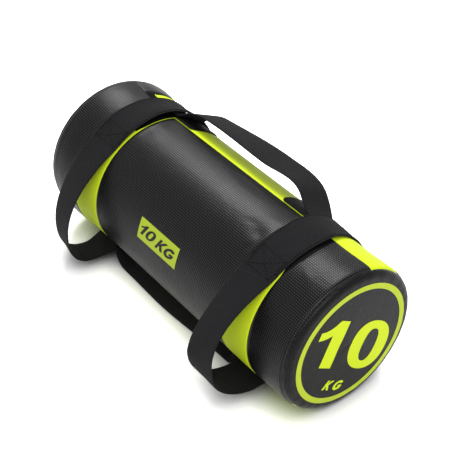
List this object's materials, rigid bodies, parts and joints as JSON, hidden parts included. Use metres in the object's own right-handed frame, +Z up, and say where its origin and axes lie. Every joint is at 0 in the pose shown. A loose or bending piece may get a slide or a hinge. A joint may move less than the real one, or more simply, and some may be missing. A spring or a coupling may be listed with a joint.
{
  "type": "sandbag trainer",
  "caption": "Round sand-filled training bag lying on its side, with webbing straps that stand off as hand loops and webbing handles along its length.",
  "frame": {"origin": "on the floor under the middle of the bag, on the underside it rests on", "axes": "+X runs along the bag to its near end, +Y points to the back, away from the hand loops, and +Z points up"},
  "size_m": [0.5036, 0.2517, 0.2148],
  "materials": {
    "black_fabric": "black coated fabric with a fine embossed weave, satin",
    "lime_fabric": "lime coated fabric with a fine embossed weave, satin",
    "black_webbing": "black woven webbing, matt",
    "foam": "fibre wadding and foam",
    "sack_cloth": "plain sack cloth",
    "tie_plastic": "moulded cable tie",
    "sand": "loose dry sand"
  },
  "bodies": {
    "bag": {"centre_panel": "black_fabric", "far_end_panel": "black_fabric", "near_end_panel": "black_fabric", "far_band_panel": "lime_fabric", "near_band_panel": "lime_fabric", "back_handle_panel": "lime_fabric", "back_handle_panel_end": "black_fabric", "front_handle_panel": "lime_fabric", "under_panel": "black_fabric", "far_end_cap": "black_fabric", "near_end_cap": "black_fabric", "far_strap": "black_webbing", "near_strap": "black_webbing", "back_handle_far_foot": "black_webbing", "back_handle_near_foot": "black_webbing", "back_handle_far_patch": "black_fabric", "back_handle_near_patch": "black_fabric", "front_handle_far_foot": "black_webbing", "front_handle_near_foot": "black_webbing", "front_handle_far_patch": "black_fabric", "front_handle_near_patch": "black_fabric", "foam_sleeve": "foam", "far_end_pad": "foam", "near_end_pad": "foam", "inner_sack": "sack_cloth", "sack_tie": "tie_plastic", "sand_fill": "sand"},
    "far_loop": {"far_loop": "black_webbing"},
    "near_loop": {"near_loop": "black_webbing"},
    "back_grip": {"back_handle_grip": "black_webbing"},
    "front_grip": {"front_handle_grip": "black_webbing"}
  },
  "joints": [
    {"name": "far_loop_swing", "type": "hinge", "parent": "bag", "child": "far_loop", "pos_m": [-0.167, -0.09, 0.098], "axis": [0, 0, 1], "range_deg": [-20, 32]},
    {"name": "near_loop_swing", "type": "hinge", "parent": "bag", "child": "near_loop", "pos_m": [0.157, -0.09, 0.098], "axis": [0, 0, 1], "range_deg": [-28, 38]},
    {"name": "back_grip_turn", "type": "hinge", "parent": "bag", "child": "back_grip", "pos_m": [0, 0.0674, 0.19425], "axis": [1, 0, 0], "range_deg": [-41, 33]},
    {"name": "front_grip_turn", "type": "hinge", "parent": "bag", "child": "front_grip", "pos_m": [0, -0.05498, 0.00588], "axis": [1, 0, 0], "range_deg": [-36, 0]}
  ]
}
